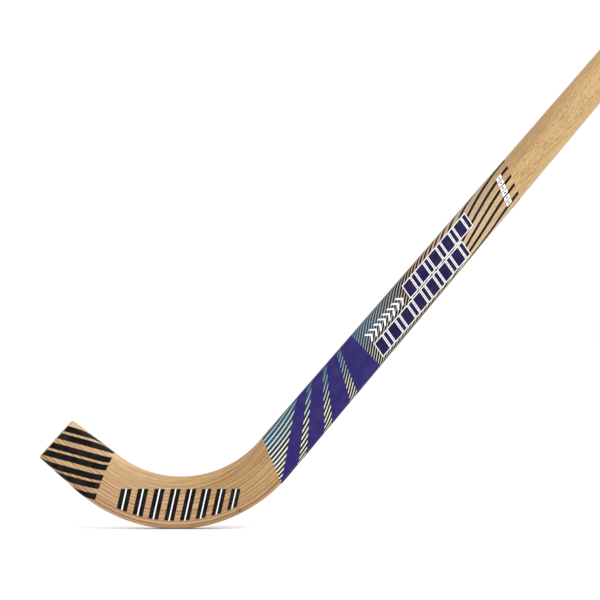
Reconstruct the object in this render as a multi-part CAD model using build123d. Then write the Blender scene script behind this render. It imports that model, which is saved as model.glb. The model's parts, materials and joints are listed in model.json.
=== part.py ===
"""Rink hockey stick: a bent ash head, opened into leaves by saw kerfs that hold
thin glued veneers, on a tapered ash shaft, with a printed transfer film on the
toe, heel and lower shaft of each playing face.

The stick lies in the XZ plane in its playing posture, with the toe to -X and the
butt up towards +X. Its two playing faces look towards -Y (front) and +Y (back).
The origin is on the shaft's centre line, in the middle of the grip.
"""

import os
from math import acos, atan2, cos, degrees, radians, sin, tan

from build123d import *

# Driving dimensions, in millimetres and degrees.
OUTSIDE_LENGTH = 1118.0  # round the outside of the curve, from toe end to butt
THICKNESS = 20.0  # between the two playing faces
EDGE_RADIUS = 6.0  # rounding of all four long edges
END_RADIUS = 2.0  # rounding round the toe end and the butt

OUTER_RADIUS = 131.4  # outside of the crook
OUTER_SHAFT_ANGLE = 50.1  # the shaft's outer edge, above the ground
OUTER_TOE_ANGLE = 42.0  # the toe's outer edge, above the ground
TOE_STRAIGHT = 45.4  # straight part of the outer edge behind the toe end

INNER_RADIUS = 92.2  # inside of the crook
INNER_CENTRE_X = 4.9  # of the inner arc, ahead of the head's lowest point
INNER_SHAFT_ANGLE = 48.95  # the shaft's inner edge, above the ground
INNER_TOE_ANGLE = 37.2  # the toe's inner edge, above the ground
SOLE_WIDTH = 46.6  # from the ground to the inside of the crook
HANDLE_WIDTH = 30.5  # across the upper shaft, which has parallel edges
BLEND_RADIUS = 3000.0  # long easing curve from the tapered to the parallel shaft
GRIP_BELOW_BUTT = 200.0  # middle of the grip, down from the butt

KERF_COUNT = 13  # saw cuts that open the head into leaves
KERF_PITCH = 3.1  # from one cut to the next, measured from the outer edge
KERF_WIDTH = 1.0  # filled by one veneer
KERF_REACH = (60.0, 80.0)  # cuts end by turns this far up the shaft
BLUNT_TIP = 0.5  # a leaf or veneer that runs out at the inner edge stops this thick

FILM_THICKNESS = 0.2
FILM_SEAM = 3.0  # bare strip between front and back films, along each edge
SHAFT_FILM_START = -9.7  # on the outer edge, from the end of the crook
SHAFT_FILM_END = 327.0  # on the outer edge, from the end of the crook
SHAFT_FILM_SLANT = 27.8  # both of its ends lean this much up the inner edge
TOE_FILM_START = 2.5  # behind the toe end
TOE_FILM_LENGTH = 63.0  # along the outer edge
TOE_FILM_SLANT = -15.0  # its heel end leans back towards the toe
HEEL_FILM_DEPTHS = (8.0, 37.0)  # from the outer edge
HEEL_FILM_HALF_ANGLE = 30.0  # either side of the head's lowest point

OVERRUN = 12.0  # spare length on a tool or a blank, cut away later

# Worked out from the above, in the XZ plane with the ground under the head at
# z = 0 and the lowest point of the head at x = 0.
SHAFT_TURN = radians(OUTER_SHAFT_ANGLE)
TOE_TURN = radians(OUTER_TOE_ANGLE)
CROOK_LENGTH = OUTER_RADIUS * (SHAFT_TURN + TOE_TURN)
SHAFT_STRAIGHT = OUTSIDE_LENGTH - TOE_STRAIGHT - CROOK_LENGTH

HEEL_AT = -90 + OUTER_SHAFT_ANGLE  # degrees round the crook, where the shaft begins
TOE_BEND_AT = -90 - OUTER_TOE_ANGLE  # degrees round the crook, where the toe begins

OUTER_CENTRE = Vector(0, OUTER_RADIUS)
INNER_CENTRE = Vector(INNER_CENTRE_X, SOLE_WIDTH + INNER_RADIUS)
UP_SHAFT = Vector(cos(SHAFT_TURN), sin(SHAFT_TURN))
UP_TOE = Vector(-cos(TOE_TURN), sin(TOE_TURN))
ACROSS_SHAFT = Vector(-sin(SHAFT_TURN), cos(SHAFT_TURN))
ACROSS_TOE = Vector(sin(TOE_TURN), cos(TOE_TURN))

HEEL = OUTER_CENTRE - ACROSS_SHAFT * OUTER_RADIUS
TOE_BEND = OUTER_CENTRE - ACROSS_TOE * OUTER_RADIUS
TOE_END = TOE_BEND + UP_TOE * TOE_STRAIGHT
BUTT_END = HEEL + UP_SHAFT * SHAFT_STRAIGHT
GRIP = BUTT_END - UP_SHAFT * GRIP_BELOW_BUTT + ACROSS_SHAFT * (HANDLE_WIDTH / 2)

SHAFT_START_WIDTH = (INNER_CENTRE - HEEL).dot(ACROSS_SHAFT) - INNER_RADIUS

SHEET = Plane.XZ
TO_GRIP = Pos(-GRIP.X, 0, -GRIP.Y)


def along_shaft(distance, depth=0.0):
    """A point up the shaft from the end of the crook, and in from the outer edge."""
    return HEEL + UP_SHAFT * distance + ACROSS_SHAFT * depth


def along_toe(distance, depth=0.0):
    """A point back from the toe end, and in from the outer edge."""
    return TOE_END - UP_TOE * distance + ACROSS_TOE * depth


def arc_between(centre, radius, from_degrees, to_degrees):
    return CenterArc(tuple(centre), radius, from_degrees, to_degrees - from_degrees)


def line_between(first, second):
    return Line(tuple(first), tuple(second))


def meeting_point(start, direction, base, normal):
    """Where the line from start along direction crosses the line through base."""
    return start + direction * ((base - start).dot(normal) / direction.dot(normal))


def toe_line(depth):
    """The toe's outer edge moved in by depth, from past the toe end to the crook."""
    return line_between(along_toe(-OVERRUN, depth), TOE_BEND + ACROSS_TOE * depth)


def crook_arc(depth, from_degrees=TOE_BEND_AT, to_degrees=HEEL_AT):
    """The crook's outer edge moved in by depth, all of it unless angles are given."""
    return arc_between(OUTER_CENTRE, OUTER_RADIUS - depth, from_degrees, to_degrees)


def outer_curve(depth, reach):
    """The outer edge moved in by depth, from past the toe end to reach up the shaft."""
    shaft = line_between(along_shaft(0, depth), along_shaft(reach, depth))
    return [toe_line(depth), crook_arc(depth), shaft]


def inner_curve(grow):
    """The inner edge moved out by grow, from past the toe to past the butt."""
    radius = INNER_RADIUS - grow
    toe_turn = radians(INNER_TOE_ANGLE)
    shaft_turn = radians(INNER_SHAFT_ANGLE)
    toe_tangent = INNER_CENTRE + Vector(-sin(toe_turn), -cos(toe_turn)) * radius
    shaft_tangent = INNER_CENTRE + Vector(sin(shaft_turn), -cos(shaft_turn)) * radius
    toe_direction = Vector(-cos(toe_turn), sin(toe_turn))
    shaft_direction = Vector(cos(shaft_turn), sin(shaft_turn))

    toe_start = meeting_point(toe_tangent, toe_direction, along_toe(-OVERRUN), UP_TOE)
    crook = arc_between(INNER_CENTRE, radius, -90 - INNER_TOE_ANGLE, -90 + INNER_SHAFT_ANGLE)

    parallel_edge = along_shaft(0, HANDLE_WIDTH + grow)
    corner = meeting_point(shaft_tangent, shaft_direction, parallel_edge, ACROSS_SHAFT)
    easing_radius = BLEND_RADIUS - grow
    easing_length = easing_radius * tan((SHAFT_TURN - shaft_turn) / 2)
    ease_from = corner - shaft_direction * easing_length
    ease_to = corner + UP_SHAFT * easing_length
    return [
        line_between(toe_start, toe_tangent),
        crook,
        line_between(shaft_tangent, ease_from),
        TangentArc(tuple(ease_from), tuple(ease_to), tangent=tuple(shaft_direction)),
        line_between(ease_to, along_shaft(SHAFT_STRAIGHT + OVERRUN, HANDLE_WIDTH + grow)),
    ]


def closed_face(lower, upper):
    """The face between two open chains of curves that run the same way."""
    start = line_between(lower[0] @ 0, upper[0] @ 0)
    finish = line_between(lower[-1] @ 1, upper[-1] @ 1)
    return make_face([*lower, *upper, start, finish])


def slab(face, thickness=THICKNESS):
    """A flat face of the XZ sheet made solid, half towards each playing face."""
    return extrude(SHEET * face, amount=thickness / 2, both=True)


def polygon_slab(points):
    """A tool that runs right through the stick, with the given outline."""
    return slab(make_face(Polyline(*[tuple(p) for p in points], close=True)), 2 * THICKNESS)


def long_edges(body):
    """The edges of both playing faces, apart from those across the two ends."""
    edges = body.faces().filter_by(Axis.Y).edges()
    for across in (ACROSS_TOE, ACROSS_SHAFT):
        edges -= edges.filter_by(Axis((0, 0, 0), (across.X, 0, across.Y)))
    return edges


def long_blank(grow):
    """The whole stick, grown by the same amount all round, with both ends too long."""
    lower = outer_curve(-grow, SHAFT_STRAIGHT + OVERRUN)
    body = slab(closed_face(lower, inner_curve(grow)), THICKNESS + 2 * grow)
    return fillet(long_edges(body), EDGE_RADIUS + grow)


def trimmed(blank):
    """The blank sawn to length square to its outer edge, with both ends rounded."""
    reach = 3 * SOLE_WIDTH
    past_toe = polygon_slab(
        along_toe(distance, depth)
        for distance, depth in ((0, -reach), (0, reach), (-reach, reach), (-reach, -reach))
    )
    past_butt = polygon_slab(
        along_shaft(SHAFT_STRAIGHT + distance, depth)
        for distance, depth in ((0, -reach), (0, reach), (reach, reach), (reach, -reach))
    )
    body = blank - past_toe - past_butt
    for direction in (UP_TOE, UP_SHAFT):
        end_face = body.faces().sort_by(Axis((0, 0, 0), (direction.X, 0, direction.Y)))[-1]
        body = fillet(end_face.edges(), END_RADIUS)
    return body


def through_strip(depth, reach):
    """The slot of a saw cut that ends up the shaft."""
    near = outer_curve(depth, reach)
    far = outer_curve(depth + KERF_WIDTH, reach)
    return slab(closed_face(near, far), 2 * THICKNESS)


def run_out_angle(depth):
    """Where on the crook only a blunt tip is left between depth and the inner edge."""
    offset = INNER_CENTRE - OUTER_CENTRE
    radius = OUTER_RADIUS - depth - BLUNT_TIP
    cosine = (radius**2 + offset.length**2 - INNER_RADIUS**2) / (2 * radius * offset.length)
    return degrees(atan2(offset.Y, offset.X) - acos(cosine))


def run_out_strip(depth):
    """The slot of a saw cut that leaves through the inner edge of the crook.

    The leaf outside it ends square, and the veneer fills the corner past the leaf's end.
    """
    far_depth = depth + KERF_WIDTH
    clear_depth = SOLE_WIDTH + KERF_WIDTH
    leaf_end = run_out_angle(far_depth)
    veneer_end = run_out_angle(depth)

    near = [toe_line(depth), crook_arc(depth, to_degrees=veneer_end)]
    far_crook = crook_arc(far_depth, to_degrees=leaf_end)
    clear_crook = crook_arc(clear_depth, leaf_end, veneer_end)
    step = line_between(far_crook @ 1, clear_crook @ 0)
    far = [toe_line(far_depth), far_crook, step, clear_crook]
    return slab(closed_face(near, far), 2 * THICKNESS)


def kerf_strips():
    """The curved slot of each saw cut, from past the toe end to where it stops."""
    strips = []
    for number in range(1, KERF_COUNT + 1):
        depth = KERF_PITCH * number
        if depth < SHAFT_START_WIDTH - BLUNT_TIP:
            strips.append(through_strip(depth, KERF_REACH[number % 2]))
        else:
            strips.append(run_out_strip(depth))
    return strips


def front_half():
    """Everything in front of the middle, less half of the seam between two films."""
    size = 2 * OUTSIDE_LENGTH
    return Pos(0, -(size + FILM_SEAM) / 2, 0) * Box(size, size, size)


def shaft_film_outline():
    lean = tan(radians(SHAFT_FILM_SLANT))
    margin = SOLE_WIDTH
    return [
        along_shaft(start + lean * depth, depth)
        for start, depth in (
            (SHAFT_FILM_START, -margin),
            (SHAFT_FILM_END, -margin),
            (SHAFT_FILM_END, 2 * margin),
            (SHAFT_FILM_START, 2 * margin),
        )
    ]


def toe_film_outline():
    lean = tan(radians(TOE_FILM_SLANT))
    margin = SOLE_WIDTH / 2
    return [
        along_toe(TOE_FILM_START, -margin),
        along_toe(TOE_FILM_START, 3 * margin),
        along_toe(TOE_FILM_LENGTH + 3 * margin * lean, 3 * margin),
        along_toe(TOE_FILM_LENGTH - margin * lean, -margin),
    ]


def heel_film_tool():
    """A ring sector that follows the crook, through the stick."""
    first = -90 - HEEL_FILM_HALF_ANGLE
    last = -90 + HEEL_FILM_HALF_ANGLE
    near, far = (crook_arc(depth, first, last) for depth in HEEL_FILM_DEPTHS)
    return slab(closed_face([near], [far]), 2 * THICKNESS)


def film_pair(name, skin, tool):
    """The film of one place, on the front face and mirrored on the back."""
    front = skin & tool & front_half()
    return {f"front_{name}": front, f"back_{name}": mirror(front, about=Plane.XZ)}


def stick_parts():
    core = long_blank(0)
    stick = trimmed(core)
    strips = kerf_strips()

    billet, inner_leaf = (stick - strips).solids().sort_by(SortBy.VOLUME, reverse=True)
    parts = {"shaft_billet": billet, "inner_leaf": inner_leaf}
    for number, strip in enumerate(strips, 1):
        parts[f"kerf_veneer_{number:02d}"] = stick & strip

    skin = long_blank(FILM_THICKNESS) - core
    parts |= film_pair("shaft_film", skin, polygon_slab(shaft_film_outline()))
    parts |= film_pair("toe_film", skin, polygon_slab(toe_film_outline()))
    parts |= film_pair("heel_film", skin, heel_film_tool())
    return parts


os.makedirs("parts", exist_ok=True)
for node, shape in stick_parts().items():
    export_step(TO_GRIP * shape, f"parts/{node}.step")
    print(f"{node}: {shape.volume / 1000:.2f} cm3, {len(shape.solids())} solid")
print(f"straight shaft {SHAFT_STRAIGHT:.1f} mm, crook {CROOK_LENGTH:.1f} mm")
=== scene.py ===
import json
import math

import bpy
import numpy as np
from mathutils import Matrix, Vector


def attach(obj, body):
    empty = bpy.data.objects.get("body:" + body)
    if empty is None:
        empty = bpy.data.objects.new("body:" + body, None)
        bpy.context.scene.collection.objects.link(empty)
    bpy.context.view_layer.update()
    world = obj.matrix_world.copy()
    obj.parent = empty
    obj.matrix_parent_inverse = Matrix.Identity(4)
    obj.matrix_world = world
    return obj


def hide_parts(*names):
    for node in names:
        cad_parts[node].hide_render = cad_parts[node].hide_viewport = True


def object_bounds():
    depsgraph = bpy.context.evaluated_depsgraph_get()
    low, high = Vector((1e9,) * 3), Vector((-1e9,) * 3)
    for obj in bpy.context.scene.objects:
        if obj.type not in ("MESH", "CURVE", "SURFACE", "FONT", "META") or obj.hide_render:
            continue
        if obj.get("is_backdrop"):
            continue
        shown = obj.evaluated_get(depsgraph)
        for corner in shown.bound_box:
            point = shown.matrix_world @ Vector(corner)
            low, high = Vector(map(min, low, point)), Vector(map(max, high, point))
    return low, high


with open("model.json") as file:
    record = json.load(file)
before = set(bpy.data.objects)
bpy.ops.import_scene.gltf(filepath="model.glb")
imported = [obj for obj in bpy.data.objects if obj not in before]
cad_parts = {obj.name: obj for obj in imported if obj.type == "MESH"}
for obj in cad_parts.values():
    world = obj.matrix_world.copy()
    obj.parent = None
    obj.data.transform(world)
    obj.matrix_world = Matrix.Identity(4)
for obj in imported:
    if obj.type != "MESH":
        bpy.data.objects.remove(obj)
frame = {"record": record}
cad_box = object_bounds()

# Rink hockey stick. The wood is rebuilt as fine meshes that carry the run of the grain, one for
# each CAD piece, and the printed films become thin raised layers of ink that wrap the edges.
#
# Lengths are in millimetres until a mesh is made. Places on the stick are given as
#   s  along the outer edge, from the toe end to the butt
#   d  in from the outer edge, square to it
#   q  from the middle of the width towards the inner edge, following the surface round the edges

MM = 0.001

# The stick's shape, as in the CAD.
OUTSIDE_LENGTH = 1118.0
THICKNESS = 20.0
EDGE_RADIUS = 6.0
END_RADIUS = 2.0
OUTER_RADIUS = 131.4
OUTER_TOE_ANGLE = 42.0
TOE_STRAIGHT = 45.4
INNER_RADIUS = 92.2
INNER_CENTRE_X = 4.9
INNER_SHAFT_ANGLE = 48.95
INNER_TOE_ANGLE = 37.2
SOLE_WIDTH = 46.6
HANDLE_WIDTH = 30.5
BLEND_RADIUS = 3000.0
KERF_COUNT = 13
KERF_PITCH = 3.1
KERF_WIDTH = 1.0
KERF_REACH = (60.0, 80.0)
BLUNT_TIP = 0.5

# How finely the wood is meshed.
ROUNDING_STEPS = 10
END_STEPS = 6
HEAD_COLUMN = 2.0
SHAFT_COLUMN = 8.0
SAME_POINT = 5  # decimals of a millimetre that tell two points apart
ON_THE_LINE = 1e-7

mounts = {mount["name"]: mount for mount in frame["record"]["mounts"]}
SOLE = np.array(mounts["sole_contact"]["pos_m"])[[0, 2]] / MM
UP_SHAFT = np.array(mounts["grip"]["axis"])[[0, 2]]
SHAFT_TURN = math.atan2(UP_SHAFT[1], UP_SHAFT[0])
TOE_TURN = math.radians(OUTER_TOE_ANGLE)
ACROSS_SHAFT = np.array([-UP_SHAFT[1], UP_SHAFT[0]])
TOE_RUN = np.array([math.cos(TOE_TURN), -math.sin(TOE_TURN)])  # from the toe end to the crook
ACROSS_TOE = np.array([math.sin(TOE_TURN), math.cos(TOE_TURN)])
OUTER_CENTRE = SOLE + (0, OUTER_RADIUS)
INNER_CENTRE = SOLE + (INNER_CENTRE_X, SOLE_WIDTH + INNER_RADIUS)
HEEL = OUTER_CENTRE - ACROSS_SHAFT * OUTER_RADIUS
TOE_END = OUTER_CENTRE - ACROSS_TOE * OUTER_RADIUS - TOE_RUN * TOE_STRAIGHT
SHAFT_START = TOE_STRAIGHT + OUTER_RADIUS * (SHAFT_TURN + TOE_TURN)
ROUND_LENGTH = EDGE_RADIUS * math.pi / 2
TO_BACK = np.array([1, -1, 1])  # turns a point of the front face into the back's

# Where the shaft's printed film lies, along the outer edge.
SHAFT_FILM_START = SHAFT_START - 9.7
SHAFT_FILM_END = SHAFT_START + 327.0
FILM_LEAN = math.tan(math.radians(27.8))  # of its two ends


def linear(red, green, blue):
    """A colour given as it looks on a screen (sRGB, 0 to 255), in linear light for a shader."""
    channels = [value / 255 for value in (red, green, blue)]
    return [c / 12.92 if c <= 0.04045 else ((c + 0.055) / 1.055) ** 2.4 for c in channels] + [1]


# ---------------------------------------------------------------- shape of the stick


def outer_edge(s):
    """Points of the outer edge, with the directions along it and in from it."""
    s = np.asarray(s, float)
    turn = np.clip((s - TOE_STRAIGHT) / OUTER_RADIUS - TOE_TURN, -TOE_TURN, SHAFT_TURN)
    along = np.stack([np.cos(turn), np.sin(turn)], -1)
    inward = np.stack([-np.sin(turn), np.cos(turn)], -1)
    beyond = s - np.clip(s, TOE_STRAIGHT, SHAFT_START)
    return OUTER_CENTRE - inward * OUTER_RADIUS + along * beyond[..., None], along, inward


def line_depth(points, inward, angle, rise):
    """Depth at which rays reach a tangent of the inner arc that leaves it at that angle."""
    turn = math.radians(angle)
    normal = np.array([-rise * math.sin(turn), math.cos(turn)])
    tangent = INNER_CENTRE - normal * INNER_RADIUS
    return ((tangent - points) @ normal) / (inward @ normal)


def handle_depth(points, inward):
    """Depth of the inner edge on the shaft: a taper, eased into the parallel handle."""
    taper = line_depth(points, inward, INNER_SHAFT_ANGLE, 1)
    lean = math.tan(SHAFT_TURN - math.radians(INNER_SHAFT_ANGLE))
    easing = BLEND_RADIUS * math.tan((SHAFT_TURN - math.radians(INNER_SHAFT_ANGLE)) / 2)
    spare = np.clip((taper - HANDLE_WIDTH) / lean + easing, 0, 2 * easing)
    eased = HANDLE_WIDTH + lean * spare**2 / (4 * easing)
    return np.where(taper - HANDLE_WIDTH > lean * easing, taper, eased)


def stick_width(s):
    """Depth of the inner edge, measured square to the outer edge."""
    points, _, inward = outer_edge(s)
    offset = points - INNER_CENTRE
    reach = (offset * inward).sum(-1)
    root = np.sqrt(np.maximum(reach**2 - (offset**2).sum(-1) + INNER_RADIUS**2, 0))
    on_arc = -reach - root
    met = offset + inward * on_arc[..., None]
    angle = np.degrees(np.arctan2(met[..., 0], -met[..., 1]))
    toe = line_depth(points, inward, INNER_TOE_ANGLE, -1)
    straight = np.where(np.asarray(s) < SHAFT_START / 2, toe, handle_depth(points, inward))
    round_the_crook = (angle > -INNER_TOE_ANGLE) & (angle < INNER_SHAFT_ANGLE)
    return np.where(round_the_crook, on_arc, straight)


def inner_normal(s):
    """Direction that the inner edge faces, in the plane of the stick."""
    step = 0.5  # to the two places whose line gives the direction
    ends = []
    for place in (np.asarray(s, float) - step, np.asarray(s, float) + step):
        points, _, inward = outer_edge(place)
        ends.append(points + inward * stick_width(place)[..., None])
    run = ends[1] - ends[0]
    run /= np.linalg.norm(run, axis=-1, keepdims=True)
    return np.stack([-run[..., 1], run[..., 0]], -1)


def end_facing(s):
    """How far a place lies round the rounding of either end: 1 on the end, 0 clear of it."""
    s = np.asarray(s, float)
    nearest = np.minimum(s, OUTSIDE_LENGTH - s)
    return np.clip((END_RADIUS - nearest) / END_RADIUS, 0, 1)


def end_inset(s):
    """How much the rounding of the two ends narrows the section."""
    return END_RADIUS * (1 - np.sqrt(1 - end_facing(s) ** 2))


def tilt_to_end(s, normals, along):
    """Section normals, turned towards the end of the stick on its rounding."""
    facing = end_facing(s)[..., None]
    to_end = np.where(np.asarray(s)[..., None] < OUTSIDE_LENGTH / 2, -1.0, 1.0)
    end_normals = np.stack([along[..., 0], np.zeros(len(along)), along[..., 1]], -1) * to_end
    return normals * np.sqrt(1 - facing**2) + end_normals * facing


def front_surface(places):
    """Points and normals of the front face at (s, d)."""
    s, d = np.asarray(places, float).T
    points, along, inward = outer_edge(s)
    inset = end_inset(s)
    radius = EDGE_RADIUS - inset
    width = stick_width(s)
    inner_side = d > width / 2
    from_edge = np.where(inner_side, width - d, d) - inset
    share = np.clip((radius - from_edge) / radius, 0, 1)
    half = THICKNESS / 2 - EDGE_RADIUS + radius * np.sqrt(1 - share**2)
    flat = points + inward * d[:, None]
    outward = np.where(inner_side[:, None], inner_normal(s), -inward) * share[:, None]
    positions = np.stack([flat[:, 0], -half, flat[:, 1]], -1)
    normals = np.stack([outward[:, 0], -np.sqrt(1 - share**2), outward[:, 1]], -1)
    return positions, tilt_to_end(s, normals, along)


def wrapped_surface(places, lift):
    """Points and normals at (s, q), raised by lift, on the front face and round its edges."""
    s, q = np.asarray(places, float).T
    points, along, inward = outer_edge(s)
    inset = end_inset(s)
    radius = EDGE_RADIUS - inset
    width = stick_width(s)
    flat_half = width / 2 - EDGE_RADIUS
    past_flat = np.maximum(np.abs(q) - flat_half, 0)
    turn = np.minimum(past_flat / EDGE_RADIUS, math.pi / 2)
    down_side = np.maximum(past_flat - ROUND_LENGTH, 0)
    from_middle = np.minimum(np.abs(q), flat_half) + radius * np.sin(turn)
    half = THICKNESS / 2 - EDGE_RADIUS + radius * np.cos(turn) - down_side
    flat = points + inward * (width / 2 + np.sign(q) * from_middle)[:, None]
    outward = np.where(q[:, None] > 0, inner_normal(s), -inward) * np.sin(turn)[:, None]
    positions = np.stack([flat[:, 0], -half, flat[:, 1]], -1)
    normals = np.stack([outward[:, 0], -np.cos(turn), outward[:, 1]], -1)
    normals = tilt_to_end(s, normals, along)
    return positions + normals * lift, normals


# ---------------------------------------------------------------- cutting flat patterns


def split(polygon, values):
    """The parts of a convex polygon where its corner values are below and above zero."""
    low, high = [], []
    corners = list(zip(polygon, values))
    for here, there in zip(corners, corners[1:] + corners[:1]):
        (point, value), (_, next_value) = here, there
        if value <= ON_THE_LINE:
            low.append(point)
        if value >= -ON_THE_LINE:
            high.append(point)
        if min(value, next_value) < -ON_THE_LINE and max(value, next_value) > ON_THE_LINE:
            (start, first), (finish, last) = sorted((here, there))
            share = first / (first - last)
            middle = tuple(a + (b - a) * share for a, b in zip(start, finish))
            low.append(middle)
            high.append(middle)
    return low, high


def sliced(polygons, measure, levels):
    """The polygons, cut wherever the measure passes one of the levels."""
    result = []
    for polygon in polygons:
        rest = polygon
        measured = [measure(point) for point in polygon]
        for level in levels:
            if level >= max(measured) - ON_THE_LINE:
                break
            if level <= min(measured) + ON_THE_LINE:
                continue
            low, rest = split(rest, [measure(point) - level for point in rest])
            result.append(low)
        result.append(rest)
    return [polygon for polygon in result if len(polygon) > 2]


def kept_below(polygons, measure):
    """The parts of the polygons where the measure is below zero."""
    parts = [split(polygon, [measure(point) for point in polygon])[0] for polygon in polygons]
    return [part for part in parts if len(part) > 2]


def indexed(polygons):
    """The polygons as lists of point numbers, and the points, each point once."""
    numbers, points, faces = {}, [], []
    for polygon in polygons:
        face = []
        for point in polygon:
            key = tuple(round(value, SAME_POINT) for value in point)
            if key not in numbers:
                numbers[key] = len(points)
                points.append(point)
            if numbers[key] not in face:
                face.append(numbers[key])
        if len(face) > 2:
            faces.append(face)
    return faces, points


def rim(faces):
    """The directed edges that only one face has."""
    edges = {(a, b) for face in faces for a, b in zip(face, face[1:] + face[:1])}
    return sorted((a, b) for a, b in edges if (b, a) not in edges)


# ---------------------------------------------------------------- meshes


def mirrored(vertices, faces, corners):
    """A mesh reflected from the front face of the stick to the back."""
    ordered, at = [], 0
    for face in faces:
        ordered += [corner * TO_BACK for corner in reversed(corners[at : at + len(face)])]
        at += len(face)
    return vertices * TO_BACK, [list(reversed(face)) for face in faces], ordered


def make_object(name, vertices, faces, corner_normals):
    """A mesh object from millimetres, with its own normals at every face corner."""
    mesh = bpy.data.meshes.new(name)
    mesh.from_pydata((np.asarray(vertices) * MM).tolist(), [], faces)
    mesh.shade_smooth()
    mesh.normals_split_custom_set(np.asarray(corner_normals).tolist())
    piece = bpy.data.objects.new(name, mesh)
    bpy.context.scene.collection.objects.link(piece)
    return piece


def flat_normals(vertices, faces):
    """The face's own normal, once for each of its corners."""
    result = []
    for face in faces:
        a, b, c = (vertices[number] for number in face[:3])
        normal = np.cross(b - a, c - b)
        result += [normal / max(np.linalg.norm(normal), ON_THE_LINE**2)] * len(face)
    return result


def closed_slab(top, bottom, top_normals, bottom_normals, faces, wall_normals_of=None):
    """Vertices, faces and corner normals of a solid between two sheets with the same faces.

    The walls between them are flat unless wall_normals_of gives other normals.
    """
    count = len(top)
    vertices = np.concatenate([top, bottom])
    under = [[number + count for number in reversed(face)] for face in faces]
    walls = [[b, a, a + count, b + count] for a, b in rim(faces)]
    wall_normals = flat_normals(vertices, walls)
    if wall_normals_of is not None:
        wall_normals = wall_normals_of(walls, wall_normals, count)
    corners = [top_normals[number] for face in faces for number in face]
    corners += [bottom_normals[number - count] for face in under for number in face]
    return vertices, faces + under + walls, corners + wall_normals


def set_attribute(piece, name, kind, values):
    """Values at a mesh's points, for its material to read by that name."""
    attribute = piece.data.attributes.new(name, kind, "POINT")
    field = "vector" if kind == "FLOAT_VECTOR" else "value"
    attribute.data.foreach_set(field, np.asarray(values, np.float32).ravel())


# ---------------------------------------------------------------- wood


def run_out(depth):
    """Where along the outer edge only a blunt tip is left between depth and the inner edge."""
    offset = INNER_CENTRE - OUTER_CENTRE
    distance = np.linalg.norm(offset)
    radius = OUTER_RADIUS - depth - BLUNT_TIP
    cosine = (radius**2 + distance**2 - INNER_RADIUS**2) / (2 * radius * distance)
    turn = math.atan2(offset[1], offset[0]) - math.acos(cosine) + math.pi / 2
    return TOE_STRAIGHT + OUTER_RADIUS * (turn + TOE_TURN)


LAST_KERF = KERF_PITCH * KERF_COUNT
LEAF_END = run_out(LAST_KERF + KERF_WIDTH)
LAST_VENEER_END = run_out(LAST_KERF)


def wood_piece_at(s, d):
    """Which CAD piece holds a place on the stick: a veneer's number, 'leaf' or 'billet'."""
    if d > LAST_KERF and LEAF_END < s < LAST_VENEER_END:
        return KERF_COUNT
    if d > LAST_KERF + KERF_WIDTH and s < LEAF_END:
        return "leaf"
    number = int(d // KERF_PITCH)
    in_strip = 1 <= number <= KERF_COUNT and d - number * KERF_PITCH < KERF_WIDTH
    end = LEAF_END if number == KERF_COUNT else SHAFT_START + KERF_REACH[number % 2]
    return number if in_strip and s < end else "billet"


def wood_columns():
    """Places along the outer edge where the wood's mesh has a row of points."""
    turns = np.linspace(0, math.pi / 2, END_STEPS)
    ends = END_RADIUS * (1 - np.cos(turns))
    kerfed = SHAFT_START + max(KERF_REACH)
    stops = [END_RADIUS, TOE_STRAIGHT, LEAF_END, LAST_VENEER_END, SHAFT_START]
    stops += [SHAFT_START + reach for reach in KERF_REACH] + [OUTSIDE_LENGTH - END_RADIUS]
    columns = list(ends) + list(OUTSIDE_LENGTH - ends)
    for start, finish in zip(stops, stops[1:]):
        pitch = HEAD_COLUMN if finish <= kerfed else SHAFT_COLUMN
        count = max(1, math.ceil((finish - start) / pitch))
        columns += list(np.linspace(start, finish, count + 1))
    return sorted({round(float(s), SAME_POINT) for s in columns})


def wood_cells():
    """The front face as convex cells in (s, d), none of which crosses a veneer's edge."""
    columns = np.array(wood_columns())
    inset = end_inset(columns)
    share = 1 - np.cos(np.linspace(0, math.pi / 2, ROUNDING_STEPS + 1))
    near = inset[:, None] + (EDGE_RADIUS - inset)[:, None] * share
    far = (stick_width(columns)[:, None] - near)[:, ::-1]
    rows = np.concatenate([near, far], 1).tolist()
    cells = []
    for (s0, row0), (s1, row1) in zip(zip(columns, rows), zip(columns[1:], rows[1:])):
        for a, b, c, e in zip(row0, row1, row1[1:], row0[1:]):
            cells.append([(s0, a), (s1, b), (s1, c), (s0, e)])
    depths = [KERF_PITCH * n + extra for n in range(1, KERF_COUNT + 1) for extra in (0, KERF_WIDTH)]
    end = SHAFT_START + max(KERF_REACH)
    kerfed = [cell for cell in cells if cell[1][0] <= end + ON_THE_LINE]
    plain = [cell for cell in cells if cell[1][0] > end + ON_THE_LINE]
    return sliced(kerfed, lambda point: point[1], depths) + plain


def wood_wall_normals(points, outward):
    """Gives walls on the stick's two narrow edges the normals that face outward there."""

    def replace(walls, normals, count):
        s, d = np.asarray(points).T
        inset, width = end_inset(s), stick_width(s)
        tolerance = 10.0 ** (1 - SAME_POINT)
        outer = np.abs(d - inset) < tolerance
        inner = np.abs(d - (width - inset)) < tolerance
        at = 0
        for wall in walls:
            own = [number % count for number in wall]
            for side in (outer, inner):
                if all(side[number] for number in own):
                    for corner, number in enumerate(own):
                        normals[at + corner] = outward[number]
            at += len(wall)
        return normals

    return replace


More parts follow.
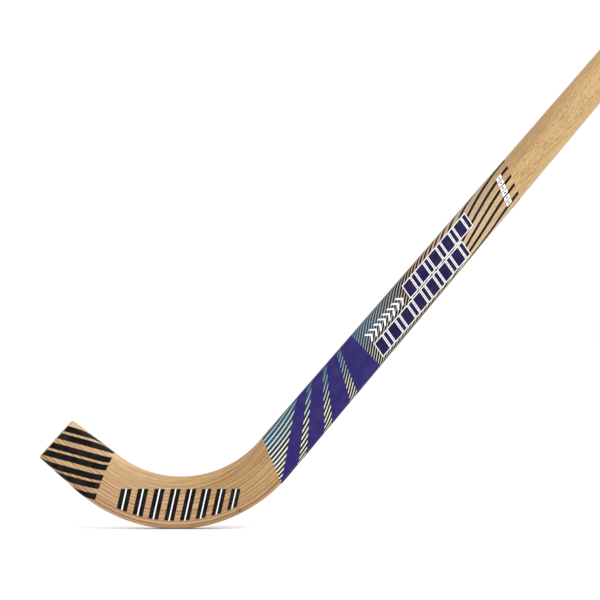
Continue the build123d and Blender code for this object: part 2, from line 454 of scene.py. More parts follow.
def wood_object(name, cells, tone):
    """One piece of wood, closed all round, that carries its grain's own coordinates."""
    faces, points = indexed(cells)
    front, normals = front_surface(points)
    outward = normals * (1, 0, 1)
    outward /= np.maximum(np.linalg.norm(outward, axis=1, keepdims=True), ON_THE_LINE)
    walls = wood_wall_normals(points, outward)
    vertices, solid, corners = closed_slab(
        front, front * TO_BACK, normals, normals * TO_BACK, faces, walls
    )
    piece = make_object(name, vertices, solid, corners)
    s, d = np.asarray(points).T
    doubled = np.stack([np.tile(s, 2), np.tile(d, 2), vertices[:, 1]], -1)
    set_attribute(piece, "grain", "FLOAT_VECTOR", doubled)
    set_attribute(piece, "tone", "FLOAT", np.full(len(vertices), tone))
    return piece


TONE_SEED = 7
ASH_TONE = 0.5  # of the billet and the inner leaf


def build_wood(ash, veneer_wood):
    """The billet, the inner leaf and the veneers, each in place of its CAD node."""
    groups = {}
    for cell in wood_cells():
        s, d = np.mean(cell, 0)
        groups.setdefault(wood_piece_at(s, d), []).append(cell)
    tones = np.random.default_rng(TONE_SEED).uniform(0, 1, KERF_COUNT + 1)
    tones[KERF_COUNT] = 0  # the last veneer shows as a wide patch on the inner edge, so no darker
    for label, cells in groups.items():
        node = {"billet": "shaft_billet", "leaf": "inner_leaf"}.get(label)
        is_veneer = node is None
        node = node or f"kerf_veneer_{label:02d}"
        piece = wood_object(node + "_wood", cells, tones[label] if is_veneer else ASH_TONE)
        piece.data.materials.append(veneer_wood if is_veneer else ash)
        install(piece, node)


def install(piece, node):
    """Every piece rides on the stick's one body and stands for a CAD node."""
    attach(piece, "root")
    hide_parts(node)


# ---------------------------------------------------------------- materials


COAT_ROUGHNESS = 0.2
PLAIN_SPECULAR = 0.5  # the shader's own usual amount


class Graph:
    """A material's nodes, with one short call for each kind.

    A value is a number, a colour or another node's output socket.
    """

    def __init__(self, name):
        self.material = bpy.data.materials.new(name)
        self.material.use_nodes = True
        self.tree = self.material.node_tree
        self.tree.nodes.clear()

    def add(self, kind, inputs=(), **settings):
        node = self.tree.nodes.new("ShaderNode" + kind)
        for key, value in settings.items():
            setattr(node, key, value)
        for key, value in dict(inputs).items():
            self.feed(node.inputs[key], value)
        return node

    def feed(self, socket, value):
        if isinstance(value, bpy.types.NodeSocket):
            self.tree.links.new(value, socket)
        else:
            socket.default_value = value

    def math(self, operation, first, second=0.0, third=0.0):
        inputs = {0: first, 1: second, 2: third}
        return self.add("Math", inputs, operation=operation).outputs[0]

    def product(self, first, *others):
        """All the values multiplied."""
        for value in others:
            first = self.math("MULTIPLY", first, value)
        return first

    def plus(self, base, *weighted):
        """The base, plus each value times its weight."""
        for value, weight in weighted:
            base = self.math("MULTIPLY_ADD", value, weight, base)
        return base

    def attribute(self, name, output="Vector"):
        return self.add("Attribute", attribute_name=name).outputs[output]

    def parts(self, vector):
        return self.add("SeparateXYZ", {0: vector}).outputs

    def noise(self, vector, lengths, detail):
        """Smooth noise whose spots are about that long along each axis."""
        inputs = {0: vector, 1: [1 / length for length in lengths]}
        scaled = self.add("VectorMath", inputs, operation="MULTIPLY").outputs[0]
        inputs = {"Vector": scaled, "Scale": 1.0, "Detail": detail}
        return self.add("TexNoise", inputs).outputs[0]

    def between(self, value, low, high, to_low=0.0, to_high=1.0):
        """A smooth step from to_low to to_high as value goes from low to high."""
        inputs = {0: value, 1: low, 2: high, 3: to_low, 4: to_high}
        return self.add("MapRange", inputs, interpolation_type="SMOOTHSTEP").outputs[0]

    def mix(self, share, first, second, blend="MIX"):
        """The first colour, turned to the second by that share."""
        inputs = {0: share, 6: first, 7: second}  # the node's colours are its sockets 6 and 7
        node = self.add("Mix", inputs, data_type="RGBA", blend_type=blend, clamp_factor=True)
        return node.outputs[2]

    def tint(self, share, colour, by):
        """The colour, multiplied by another by that share."""
        return self.mix(share, colour, by, "MULTIPLY")

    def ramp(self, share, stops):
        """A colour ramp of places from 0 to 1 and their colours."""
        node = self.add("ValToRGB", {0: share})
        elements = node.color_ramp.elements
        while len(elements) < len(stops):
            elements.new(0.5)
        for element, (place, colour) in zip(elements, stops):
            element.position = place
            element.color = colour
        return node.outputs[0]

    def finish(self, colour, roughness, height, depth, coat=0.0, specular=PLAIN_SPECULAR):
        """A glossy surface with that colour, roughness and relief, depth in metres."""
        bump = self.add("Bump", {"Strength": 1.0, "Distance": depth, "Height": height})
        inputs = {
            "Base Color": colour,
            "Roughness": roughness,
            "Normal": bump.outputs[0],
            "Coat Weight": coat,
            "Coat Roughness": COAT_ROUGHNESS,
            "Specular IOR Level": specular,
        }
        shader = self.add("BsdfPrincipled", inputs)
        self.add("OutputMaterial", {"Surface": shader.outputs[0]})
        return self.material


# Growth rings. Lengths and places below are in the grain's own coordinates.
RING_STOPS = ((0.0, 0.0), (0.42, 0.12), (0.68, 0.5), (0.86, 1.0), (1.0, 0.0))  # across one ring
HEAD_RING = 2.25
SHAFT_RING = 1.7
PITH_DEPTH = 14.5  # the arches of the upper shaft are centred at this depth
ARCHES_BEGIN = (SHAFT_START + 150, SHAFT_START + 300)  # straight rings before, arches after
ARCH_BOW = 0.036
ARCH_STRETCH = -0.055
HEAD_SHIFTS = (0.35, 7.0, 1.3)  # how far depth, wander and ripple each move a straight ring
ARCH_SHIFTS = (0.6, 6.0, 2.6)  # and an arched one

# How far each kind of figure runs along, across and through the wood.
WANDER = (170, 14, 14)
RIPPLE = (34, 4, 4)
PATCH = (55, 3.5, 3.5)
STREAK = (80, 1.3, 1.3)
FIBRE = (26, 0.45, 0.45)
PORE = (4.5, 0.3, 0.3)
FLECK = (3.4, 1.0, 1.0)

# How much of the dark colour each kind adds.
FIBRE_SHARE = 0.2
STREAK_SHARE = 0.28
STREAK_LOSS = -0.16  # on the arched shaft
PORE_SHARE = 0.3
WANDER_SHARE = 0.2

# Tints that darken the wood: near the sole, as painted shade where the head faces down; up from the
# crook; and inside past the film.
PAINTED_SOLE_SHADE = linear(246, 238, 236)
PAINTED_SOLE_SHADE_SHARE = 0.8
GOLDEN_TINT = linear(234, 230, 206)
GOLDEN_WANDER = 120  # how unevenly the golden tint begins
INNER_BAND_TINT = linear(226, 222, 218)
INNER_BAND_SHARE = 0.5

KNOT = (202.7, 3.2, -9.3)  # the middle of the one small knot
KNOT_BROWN = linear(92, 62, 38)
KNOT_EDGE = (1.0, 2.1)  # distances from its middle between which it fades

# The pale ground of the shaft film, which fades up the shaft.
CREAM = linear(214, 211, 194)
COOL_CREAM = linear(158, 170, 184)  # towards the inner edge
CREAM_SHARE = 0.93
CREAM_FULL = 105.0  # from the film's start, where the fade begins
CREAM_END = 215.0  # and where only the veil is left
CREAM_VEIL = 0.19
VEIL_FADE = 60.0  # before the film's end, over which the veil goes too

WOOD_GLOSS = (0.3, 0.42)  # roughness, from smooth to fibrous
WOOD_COAT = 0.25
WOOD_RELIEF = 0.00002  # metres
RING_RELIEF = -0.3
PORE_RELIEF = -1.0


class Wood(Graph):
    """A wood material's nodes, with the measures that its parts share."""

    def __init__(self, name):
        super().__init__(name)
        self.grain = self.attribute("grain")
        self.s, self.d, self.y = self.parts(self.grain)
        self.wander = self.noise(self.grain, WANDER, 3)
        self.fibres = self.between(self.noise(self.grain, FIBRE, 3), 0.3, 0.7)
        self.pores = self.between(self.noise(self.grain, PORE, 1), 0.58, 0.72)
        self.off_pith = self.math("SUBTRACT", self.d, PITH_DEPTH)
        self.on_shaft = self.between(self.s, *ARCHES_BEGIN)
        self.rings = growth_rings(self)


def ring_lines(graph, place, pitch):
    """Darkness of growth rings that follow each other at that pitch."""
    stops = [(at, [level] * 3 + [1]) for at, level in RING_STOPS]
    return graph.ramp(graph.math("FRACT", graph.math("DIVIDE", place, pitch)), stops)


def growth_rings(wood):
    """Growth rings: along the bent head they run straight, on the upper shaft they arch."""
    moved_by = (wood.y, wood.wander, wood.noise(wood.grain, RIPPLE, 3))
    straight = wood.plus(wood.d, *zip(moved_by, HEAD_SHIFTS))
    bow = wood.product(wood.off_pith, wood.off_pith, ARCH_BOW)
    arched = wood.plus(bow, (wood.s, ARCH_STRETCH), *zip(moved_by, ARCH_SHIFTS))
    straight = ring_lines(wood, straight, HEAD_RING)
    return wood.mix(wood.on_shaft, straight, ring_lines(wood, arched, SHAFT_RING))


def darkness(wood, ring_share, tone_share):
    """How much of the dark colour each place of the wood has."""
    off_pith = wood.math("ABSOLUTE", wood.off_pith)
    patches = wood.between(wood.noise(wood.grain, PATCH, 2), 0.35, 0.65, 0.25, 1)
    patches = wood.mix(wood.on_shaft, patches, wood.between(off_pith, 0, 7, 0.3, 0.7))
    streaks = wood.between(wood.noise(wood.grain, STREAK, 2), 0.32, 0.68)
    flecks = wood.between(wood.noise(wood.grain, FLECK, 2), 0.46, 0.64, -0.06, 0.3)
    flecks = wood.product(flecks, wood.between(off_pith, 5, 11, 1, 0.35))
    return wood.plus(
        wood.product(wood.rings, patches, ring_share),
        (wood.fibres, FIBRE_SHARE),
        (streaks, wood.plus(STREAK_SHARE, (wood.on_shaft, STREAK_LOSS))),
        (wood.pores, PORE_SHARE),
        (flecks, wood.on_shaft),
        (wood.attribute("tone", "Fac"), tone_share),
        (wood.between(wood.wander, 0.4, 0.7), WANDER_SHARE),
    )


def tinted(wood, colour):
    """The wood's colour with its slow changes along the stick, painted shade near the sole, and its
    one small knot.
    """
    # Painted shade: the head is darkened towards the sole, on the side that faces down.
    in_head = wood.between(wood.s, SHAFT_START + 30, SHAFT_START - 100)
    sole_shade = wood.product(wood.between(wood.d, 4, 40, 1, 0), in_head, PAINTED_SOLE_SHADE_SHARE)
    colour = wood.tint(sole_shade, colour, PAINTED_SOLE_SHADE)

    golden = wood.between(wood.plus(wood.s, (wood.wander, GOLDEN_WANDER)), 180, 270)
    golden = wood.product(golden, wood.between(wood.s, 280, 450, 1, 0.6))
    colour = wood.tint(golden, colour, GOLDEN_TINT)

    past_film = wood.between(wood.s, SHAFT_FILM_END - 60, SHAFT_FILM_END + 40)
    inner_band = wood.product(wood.between(wood.d, 21, 28), past_film, INNER_BAND_SHARE)
    colour = wood.tint(inner_band, colour, INNER_BAND_TINT)

    off_knot = wood.add("VectorMath", {0: wood.grain, 1: KNOT}, operation="DISTANCE")
    knot = wood.between(off_knot.outputs["Value"], *KNOT_EDGE, 0.9, 0)
    return wood.mix(knot, colour, KNOT_BROWN)


def with_cream(wood, colour):
    """The wood's colour under the shaft film's pale ground, from its slanted start upwards."""
    along = wood.plus(wood.s, (wood.d, -FILM_LEAN))
    start = wood.between(along, SHAFT_FILM_START - 0.2, SHAFT_FILM_START + 0.2)
    fade_from, fade_to = SHAFT_FILM_START + CREAM_FULL, SHAFT_FILM_START + CREAM_END
    fade = wood.between(along, fade_from, fade_to, 1, CREAM_VEIL)
    end = wood.between(along, SHAFT_FILM_END - VEIL_FADE, SHAFT_FILM_END, 1, 0)

    past_crook = wood.between(wood.s, SHAFT_START + 40, SHAFT_START + 110)
    cool = wood.product(wood.between(wood.d, 8, 26), past_crook)
    ground = wood.mix(cool, CREAM, COOL_CREAM)
    return wood.mix(wood.product(start, end, fade, CREAM_SHARE), colour, ground)


def wood_material(name, light, dark, ring_share, tone_share):
    """Lacquered wood between the colours of its early and late growth."""
    wood = Wood(name)
    colour = wood.mix(darkness(wood, ring_share, tone_share), light, dark)
    colour = with_cream(wood, tinted(wood, colour))
    roughness = wood.between(wood.fibres, 0.0, 1.0, *WOOD_GLOSS)
    height = wood.plus(0.0, (wood.rings, RING_RELIEF), (wood.pores, PORE_RELIEF))
    return wood.finish(colour, roughness, height, WOOD_RELIEF, coat=WOOD_COAT)


UNDER_INK = linear(235, 225, 205)  # what shows a little where the ink is thin
THIN_INK = 0.015
PINHOLES = 0.5
INK_GLOSS = (0.3, 0.42)
INK_RELIEF = 0.00001  # metres
INK_SPECULAR = 0.07


def ink_material(name, colour, second=None):
    """Screen-printed ink: slightly uneven, with fine pinholes and a soft gloss.

    With a second colour, the ink turns to it where the piece's shade attribute is 1.
    """
    graph = Graph(name)
    place = graph.attribute("grain")
    uneven = graph.noise(place, (9, 9, 9), 3)
    fine = graph.noise(place, (0.5, 0.5, 0.5), 2)
    body = colour
    if second is not None:
        body = graph.mix(graph.attribute("shade", "Fac"), colour, second)
    thin = graph.mix(THIN_INK, body, UNDER_INK)
    paint = graph.mix(graph.between(uneven, 0.35, 0.75), body, thin)
    paint = graph.mix(graph.between(fine, 0.62, 0.8, 0, PINHOLES), paint, thin)
    roughness = graph.between(uneven, 0.3, 0.7, *INK_GLOSS)
    return graph.finish(paint, roughness, fine, INK_RELIEF, specular=INK_SPECULAR)


# ---------------------------------------------------------------- printed films

INK = 0.05  # thickness of one layer of ink
INK_LIMIT = THICKNESS / 2 - EDGE_RADIUS - 1.5  # how far ink reaches down the flat of each edge
WRAP_STEP = 0.8  # between the cuts that let ink follow a rounded edge
RUN_STEP = 2.0  # between the cuts along a curved outline
PAST_INK = 30.0  # from the middle, more than the ink ever reaches

# The fan of stripes, by distance up the shaft from the crook.
FAN_AT = (-20, 3, 29, 56, 83, 136, 207, 243, 278, 305, 332, 350)
FAN_RISE = (-2, 0, 6, 16, 26, 31, 28, 19, 11, 8, 2, 0)  # degrees, towards the inner edge
FAN_PITCH = (3.3, 3.3, 3.1, 2.9, 2.7, 2.6, 2.9, 4.2, 6.3, 6.8, 7.2, 7.2)
FAN_INK = (1.9, 1.9, 1.9, 1.9, 1.9, 1.95, 1.9, 1.95, 2.1, 2.2, 2.2, 2.2)
FAN_ANCHOR = 2.9  # of the middle stripe from the middle of the shaft, near the film's end
FAN_END_GAP = 4.8  # from the last of each stripe to the end of the film
FAN_STEP = 1.0
FAN_EASING = 10  # steps to either side over which the pitch is evened out
CROWDING = ((40, 120), (0.085, 0))  # stripes open out from the middle on the lower shaft
CROWDING_LIMIT = 25.0
CROWDING_STILL = 10.0  # from the middle, where crowding moves no stripe
SWELL = ((70, 150), (1.0, 0))  # stripes are wider towards the inner edge on the lower shaft
SWELL_REACH = 20.0  # from the middle, where they are wider by all of the swell
SWELL_LEAST = -0.3

# Bold straight bands, each between two lines: place up the shaft on the axis, and slope.
BANDS = (
    ((24.5, 1.72), (44.0, 1.50)),
    ((52.5, 1.36), (72.0, 1.10)),
    ((80.0, 0.96), (99.0, 0.66)),
    ((106.5, 0.52), (130.0, 0.10)),
)


def edge_of_ink(s):
    """How far from the middle, round the surface, the ink may reach."""
    return float(stick_width(np.array([s]))[0]) / 2 - EDGE_RADIUS + ROUND_LENGTH + INK_LIMIT


def depth_at(s, q):
    """Depth from the outer edge of a place given round the surface."""
    half = edge_of_ink(s) + EDGE_RADIUS - ROUND_LENGTH - INK_LIMIT
    past_flat = min(max(abs(q) - half + EDGE_RADIUS, 0), ROUND_LENGTH)
    across = min(abs(q), half - EDGE_RADIUS) + EDGE_RADIUS * math.sin(past_flat / EDGE_RADIUS)
    return half + math.copysign(across, q)


def wrapped(polygons):
    """The polygons cut to the ink's reach, and finely where they go round an edge."""
    places = [point[0] for polygon in polygons for point in polygon]
    first, last = min(places), max(places)
    reach, narrowing = edge_of_ink(first), (edge_of_ink(last) - edge_of_ink(first)) / (last - first)

    def past_limit(point):
        return abs(point[1]) - reach - narrowing * (point[0] - first)

    halves = kept_below(sliced(polygons, lambda point: point[1], [0.0]), past_limit)
    steps = list(np.arange(-ROUND_LENGTH - INK_LIMIT, -INK_LIMIT, WRAP_STEP)) + [-INK_LIMIT]
    return sliced(halves, past_limit, steps)


def past_shaft_line(start):
    """Measures how far a place is past a line that leans as the shaft film's ends do."""
    return lambda point: point[0] - FILM_LEAN * depth_at(*point) - start


def short_of(measure):
    """Turns a measure round, so that what lies past its line is kept."""
    return lambda point: -measure(point)


def fan_places():
    """Places up the shaft, with where the middle stripe is there and the stripes' pitch."""
    up = np.arange(FAN_AT[0], FAN_AT[-1] + FAN_STEP, FAN_STEP)
    rise = np.tan(np.radians(np.interp(up, FAN_AT, FAN_RISE)))
    window = 2 * FAN_EASING + 1
    pitch = np.pad(np.interp(up, FAN_AT, FAN_PITCH), FAN_EASING, "edge")
    pitch = np.convolve(pitch, np.full(window, 1 / window), "valid")
    turning = np.gradient(pitch, FAN_STEP) / pitch
    middle = np.zeros(len(up))
    anchor = int(np.searchsorted(up, FAN_AT[-2]))
    middle[anchor:] = FAN_ANCHOR
    for here in range(anchor - 1, -1, -1):
        change = rise[here] + middle[here + 1] * turning[here]
        middle[here] = middle[here + 1] - change * FAN_STEP
    return up, middle, pitch


def stripe_cells(up, centre, half):
    """One stripe about its centre line, as quads two steps long."""
    cells = []
    seen = np.flatnonzero(np.abs(centre) < PAST_INK)
    for a in seen[:-1:2]:
        b = min(a + 2, len(up) - 1)
        s0, s1 = SHAFT_START + up[a], SHAFT_START + up[b]
        sides = [(s0, centre[a] - half[a]), (s1, centre[b] - half[b])]
        sides += [(s1, centre[b] + half[b]), (s0, centre[a] + half[a])]
        cells.append([(float(s), float(q)) for s, q in sides])
    return cells


def stripes():
    """Long thin stripes that enter at the outer edge, fan up the shaft and leave inside."""
    up, middle, pitch = fan_places()
    ink = np.interp(up, FAN_AT, FAN_INK)
    crowding = np.interp(up, *CROWDING)
    swell = np.interp(up, *SWELL)
    first = math.floor(((-PAST_INK - middle) / pitch).min())
    last = math.ceil(((PAST_INK - middle) / pitch).max())
    cells = []
    for number in range(first, last):
        centre = middle + number * pitch
        spread = np.clip(centre, -CROWDING_LIMIT, CROWDING_LIMIT) ** 2 - CROWDING_STILL**2
        centre = centre + crowding * spread / (2 * CROWDING_STILL)
        half = (ink + swell * np.clip(centre / SWELL_REACH, SWELL_LEAST, 1)) / 2
        cells += stripe_cells(up, centre, half)
    cells = wrapped(cells)
    cells = kept_below(cells, short_of(past_shaft_line(SHAFT_FILM_START)))
    return kept_below(cells, past_shaft_line(SHAFT_FILM_END - FAN_END_GAP))


def bands():
    """Bold bands across the shaft, spread like the ribs of a fan."""
    cells = []
    rows = np.arange(-PAST_INK, PAST_INK + 0.1, WRAP_STEP).tolist()
    for lines in BANDS:
        for q0, q1 in zip(rows, rows[1:]):
            (a0, a1), (b0, b1) = (
                [SHAFT_START + place + slope * q for q in (q0, q1)] for place, slope in lines
            )
            cells.append([(a0, q0), (b0, q0), (b1, q1), (a1, q1)])
    cells = wrapped(cells)
    return kept_below(cells, short_of(past_shaft_line(SHAFT_FILM_START)))


def leaning_block(start, low, width, height, lean):
    """A parallelogram up the shaft: its lower outer corner, size and lean."""
    s, high = SHAFT_START + start, low + height
    shift = lean * height
    return [(s, low), (s + width, low), (s + width + shift, high), (s + shift, high)]


BLOCK_LEAN = 0.27
BLOCK_RIM = 0.8  # white round each navy block
BLOCK_WIDTHS = (9.2, 3.7)  # by turns
BLOCK_GAP = 2.2
BLOCK_ROWS = ((192.0, 0.5, 11.8, 10), (136.5, -14.6, 12.4, 14))  # start, low side, height, count
CHEVRON_ROW = (139.0, 1.2, 8)  # start, low side, count
CHEVRON_SIZE = (4.2, 8.6)  # along the shaft and across
CHEVRON_STROKE = 2.1
CHEVRON_PITCH = 6.0
TAG_ROW = (309.0, -12.6, 6)  # start, low side, count
TAG_SIZE = (6.2, 2.9)  # along the shaft and across
TAG_PITCH = 4.1
TAG_DOT = (1.6, 1.3)  # along and across


def block_places():
    """Where each navy block starts, its low side, width and height."""
    for start, low, height, count in BLOCK_ROWS:
        for number in range(count):
            width = BLOCK_WIDTHS[number % 2]
            yield start, low, width, height
            start += width + BLOCK_GAP


def tag_places():
    """The lower outer corner of each white tag."""
    start, low, count = TAG_ROW
    for number in range(count):
        yield start + FILM_LEAN * TAG_PITCH * number, low + TAG_PITCH * number


def chevron(start, low):
    """Two leaning strokes that meet in a point up the shaft."""
    s, middle = SHAFT_START + start, low + CHEVRON_SIZE[1] / 2
    point = s + CHEVRON_SIZE[0]
    foot = [(s, low), (s + CHEVRON_STROKE, low)]
    outer = foot + [(point + CHEVRON_STROKE, middle), (point, middle)]
    inner = [(at, 2 * middle - q) for at, q in reversed(outer)]
    return [outer, inner]


def white_marks():
    """The white rims of the blocks, a row of chevrons and a short row of tags."""
    marks = []
    for start, low, width, height in block_places():
        wide, tall = width + 2 * BLOCK_RIM, height + 2 * BLOCK_RIM
        corner = start - BLOCK_RIM * (1 + BLOCK_LEAN)
        marks.append(leaning_block(corner, low - BLOCK_RIM, wide, tall, BLOCK_LEAN))
    start, low, count = CHEVRON_ROW
    for number in range(count):
        marks += chevron(start + number * CHEVRON_PITCH, low)
    marks += [leaning_block(start, low, *TAG_SIZE, FILM_LEAN) for start, low in tag_places()]
    return wrapped(marks)


def navy_marks():
    """The navy blocks, and a small dot on each white tag."""
    marks = [leaning_block(*place, BLOCK_LEAN) for place in block_places()]
    inset = [(whole - dot) / 2 for whole, dot in zip(TAG_SIZE, TAG_DOT)]
    for start, low in tag_places():
        place = start + inset[0] + FILM_LEAN * inset[1]
        marks.append(leaning_block(place, low + inset[1], *TAG_DOT, FILM_LEAN))
    return wrapped(marks)


TOE_BAR_TURN = math.radians(25)  # between the toe's bars and its length
TOE_BAR_WIDTH = 5.6
TOE_BAR_TOPS = (14.4, 6.6, -3.4, -11.2, -21.2, -29.0, -39.0)  # across the toe from its middle
TOE_BAR_RUN = 70.0  # longer than the film
TOE_INK = (1.0, 57.0)  # where the ink starts, and where it ends along the middle
TOE_INK_LEAN = -0.33  # of its far end
END_CUT = 1.5  # a cut that lets the ink follow the rounding of the toe end


def toe_bars():
    """Pairs of slanted bars that run off the toe end and wrap the inner edge."""
    lean = math.tan(TOE_BAR_TURN)
    cells = []
    along = np.arange(0, TOE_BAR_RUN + 0.1, RUN_STEP).tolist()
    for top in TOE_BAR_TOPS:
        low, high = (side / math.cos(TOE_BAR_TURN) for side in (top - TOE_BAR_WIDTH, top))
        for s0, s1 in zip(along, along[1:]):
            rise0, rise1 = lean * s0, lean * s1
            near = [(s0, low + rise0), (s1, low + rise1)]
            cells.append(near + [(s1, high + rise1), (s0, high + rise0)])
    cells = wrapped(cells)
    cells = sliced(cells, lambda point: point[0], [END_CUT])
    cells = kept_below(cells, lambda point: TOE_INK[0] - point[0])
    return kept_below(cells, lambda point: point[0] - TOE_INK_LEAN * point[1] - TOE_INK[1])


HEEL_BAR_COUNT = 8
HEEL_BAR_FIRST = -52.0  # of the first bar's foot from the head's lowest point
HEEL_BAR_PITCH = 14.0
HEEL_BAR_WIDTH = 8.8
HEEL_BAR_LEAN = 0.22
HEEL_FOOT_DEPTH = 7.5  # the bars' feet follow the outer edge
HEEL_TOP = 36.0
HEEL_INLINE = 1.2
HEAD_ACROSS = (-80, 80)  # more than the bars span, ahead of the lowest point
HEAD_UP = (0, 50)  # and above it


def crook_place(x, z):
    """A place (s, q) from its offset ahead of and above the head's lowest point."""
    turn = math.atan2(x, OUTER_RADIUS - z)
    s = TOE_STRAIGHT + OUTER_RADIUS * (turn + TOE_TURN)
    width = float(stick_width(np.array([s]))[0])
    return s, OUTER_RADIUS - math.hypot(x, OUTER_RADIUS - z) - width / 2


def on_crook(polygons):
    """Straight-sided polygons in the plane of the head, laid on its face."""
    fine = sliced(polygons, lambda point: point[0], list(np.arange(*HEAD_ACROSS, RUN_STEP)))
    fine = sliced(fine, lambda point: point[1], list(np.arange(*HEAD_UP, RUN_STEP)))
    return wrapped([[crook_place(*point) for point in polygon] for polygon in fine])


def heel_bar(number, margin):
    """One bar of the heel, or its inline when the margin is wide."""
    corners = []
    for side in (margin, HEEL_BAR_WIDTH - margin):
        x = HEEL_BAR_FIRST + HEEL_BAR_PITCH * number + side
        foot = OUTER_RADIUS - math.sqrt((OUTER_RADIUS - HEEL_FOOT_DEPTH) ** 2 - x**2)
        corners.append((x, foot))
    tops = [(x + HEEL_BAR_LEAN * (HEEL_TOP - foot), HEEL_TOP) for x, foot in reversed(corners)]
    return corners + tops


def heel_bars():
    """A row of upright bars along the sole."""
    return on_crook([heel_bar(number, 0) for number in range(HEEL_BAR_COUNT)])


def heel_inlines():
    """A thin line down the middle of each heel bar."""
    margin = (HEEL_BAR_WIDTH - HEEL_INLINE) / 2
    return on_crook([heel_bar(number, margin) for number in range(HEEL_BAR_COUNT)])


def ink_piece(name, polygons, layer, material, node, mirror, shade=None):
    """A closed layer of ink over the polygons, on the front or mirrored to the back."""
    faces, points = indexed(polygons)
    top, normals = wrapped_surface(points, (layer + 1) * INK)
    bottom, _ = wrapped_surface(points, layer * INK)
    vertices, solid, corners = closed_slab(top, bottom, normals, -normals, faces)
    if mirror:
        vertices, solid, corners = mirrored(vertices, solid, corners)
    piece = make_object(name, vertices, solid, corners)
    places = np.tile(np.asarray(points), (2, 1))
    set_attribute(piece, "grain", "FLOAT_VECTOR", np.column_stack([places, vertices[:, 1]]))
    if shade is not None:
        set_attribute(piece, "shade", "FLOAT", [shade(*place) for place in places])
    piece.data.materials.append(material)
    install(piece, node)


TEAL_ACROSS = ((-2, 12), (0, 1))  # from the middle, and how teal
TEAL_ALONG = ((-12, 4, 130, 200), (0, 1, 0.9, 0))  # up the shaft, and how teal


def teal_share(s, q):
    """The stripes turn from black to teal on the inner side of the lower shaft."""
    return float(np.interp(q, *TEAL_ACROSS) * np.interp(s - SHAFT_START, *TEAL_ALONG))


def build_prints():
    """Every layer of ink on both faces. The back is the front's mirror image."""
    black = ink_material("black_ink", linear(10, 7, 8))
    stripe = ink_material("stripe_ink", linear(12, 6, 18), linear(34, 76, 98))
    purple = ink_material("purple_ink", linear(41, 34, 94))
    navy = ink_material("navy_ink", linear(27, 23, 64))
    white = ink_material("white_ink", linear(236, 236, 238))
    layers = (
        ("shaft_stripes", stripes(), 0, stripe, "shaft_film", teal_share),
        ("shaft_bands", bands(), 1, purple, "shaft_film", None),
        ("shaft_white_marks", white_marks(), 1, white, "shaft_film", None),
        ("shaft_navy_blocks", navy_marks(), 2, navy, "shaft_film", None),
        ("toe_bars", toe_bars(), 0, black, "toe_film", None),
        ("heel_bars", heel_bars(), 0, black, "heel_film", None),
        ("heel_inlines", heel_inlines(), 1, white, "heel_film", None),
    )
    for face, mirror in (("front", False), ("back", True)):
        for name, polygons, layer, material, film, shade in layers:
            node = f"{face}_{film}"
            ink_piece(f"{face}_{name}", polygons, layer, material, node, mirror, shade)


# ---------------------------------------------------------------- stage


FLOOR_REACH = 30.0  # metres to each side
FLOOR_ROUGHNESS = 0.9
FLOOR_RELIEF = 0.00001  # metres


def build_floor():
    """A pale plain floor under the head."""
    height, reach = cad_box[0][2], FLOOR_REACH
    mesh = bpy.data.meshes.new("floor")
    corners = [(-reach, -reach), (reach, -reach), (reach, reach), (-reach, reach)]
    mesh.from_pydata([(x, y, height) for x, y in corners], [], [(0, 1, 2, 3)])
    floor = bpy.data.objects.new("floor", mesh)
    bpy.context.scene.collection.objects.link(floor)
    graph = Graph("pale_floor")
    place = graph.add("NewGeometry").outputs["Position"]
    cloudy = graph.noise(place, (0.8, 0.8, 0.8), 2)
    tint = graph.mix(cloudy, linear(253, 253, 253), linear(255, 255, 255))
    floor.data.materials.append(graph.finish(tint, FLOOR_ROUGHNESS, cloudy, FLOOR_RELIEF))
    floor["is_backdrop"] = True


def add_light(name, place, aim, size, power):
    """A square soft light, with its size in metres and its power in watts."""
    data = bpy.data.lights.new(name, "AREA")
    data.shape = "SQUARE"
    data.size = size
    data.energy = power
    light = bpy.data.objects.new(name, data)
    bpy.context.scene.collection.objects.link(light)
    point_at(light, place, aim)


def point_at(thing, place, aim):
    """Puts a light or camera at place, turned to look at aim."""
    thing.location = place
    thing.rotation_euler = (Vector(aim) - Vector(place)).to_track_quat("-Z", "Y").to_euler()


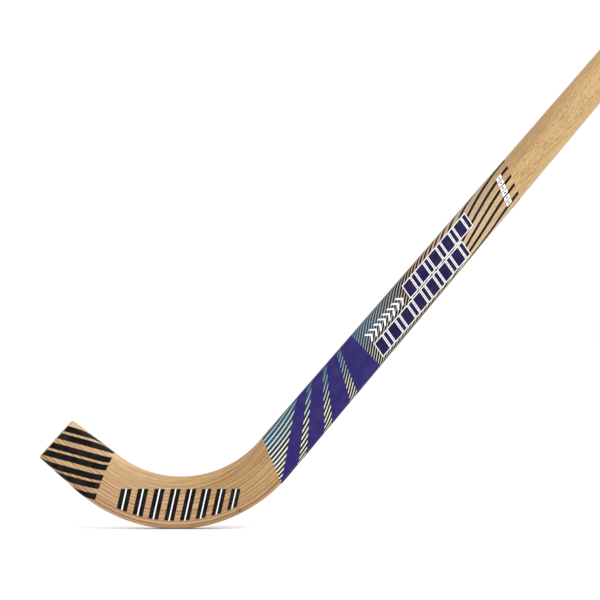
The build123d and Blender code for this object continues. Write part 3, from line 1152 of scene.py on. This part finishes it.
# Each light's offset from the point it is aimed at, its size and its power.
LIGHTS = (
    ("key", (1.5, -1.6, 1.5), 1.2, 15),
    ("fill", (-1.6, -1.8, 0.6), 1.5, 5),
    ("edge", (1.9, -0.3, 2.2), 0.6, 14),
)
LIGHT_AIM_HEIGHT = 0.2  # metres above the sole
SKY_STRENGTH = 0.8
EXPOSURE = 0.35


def build_studio():
    """Even white surroundings, a soft key from above the shaft, a weak fill and an edge light."""
    scene = bpy.context.scene
    world = bpy.data.worlds.new("studio")
    world.use_nodes = True
    background = world.node_tree.nodes["Background"]
    background.inputs[0].default_value = (1, 1, 1, 1)
    background.inputs[1].default_value = SKY_STRENGTH
    scene.world = world
    scene.view_settings.view_transform = "Standard"
    scene.view_settings.exposure = EXPOSURE
    aim = (SOLE[0] * MM, 0, SOLE[1] * MM + LIGHT_AIM_HEIGHT)
    for name, offset, size, power in LIGHTS:
        place = [start + step for start, step in zip(aim, offset)]
        add_light(name, place, aim, size, power)


CAMERA_DISTANCE = 3.0  # metres from the front face
SENSOR_WIDTH = 36.0
VIEW_SIZE = 0.534  # metres across the picture, at the front face
VIEW_CENTRE = (0.11107, 0.20408)  # ahead of and above the sole
CLIP_END = 100.0


def build_camera():
    """A long lens square to the front face, framing the head and the lower shaft."""
    data = bpy.data.cameras.new("camera")
    data.sensor_width = SENSOR_WIDTH
    data.lens = SENSOR_WIDTH * CAMERA_DISTANCE / VIEW_SIZE
    data.clip_end = CLIP_END
    camera = bpy.data.objects.new("camera", data)
    bpy.context.scene.collection.objects.link(camera)
    aim = (SOLE[0] * MM + VIEW_CENTRE[0], 0, SOLE[1] * MM + VIEW_CENTRE[1])
    point_at(camera, (aim[0], -CAMERA_DISTANCE - THICKNESS / 2 * MM, aim[2]), aim)
    bpy.context.scene.camera = camera


ASH = (linear(206, 173, 125), linear(136, 96, 54))  # light and dark
VENEER = (linear(190, 155, 109), linear(128, 90, 52))

ash = wood_material("lacquered_ash", *ASH, ring_share=0.6, tone_share=0.0)
veneer = wood_material("glued_veneer", *VENEER, ring_share=0.2, tone_share=0.5)
build_wood(ash, veneer)
build_prints()
build_floor()
build_studio()
build_camera()

boxes = [[list(map(float, corner)) for corner in box] for box in (cad_box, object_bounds())]
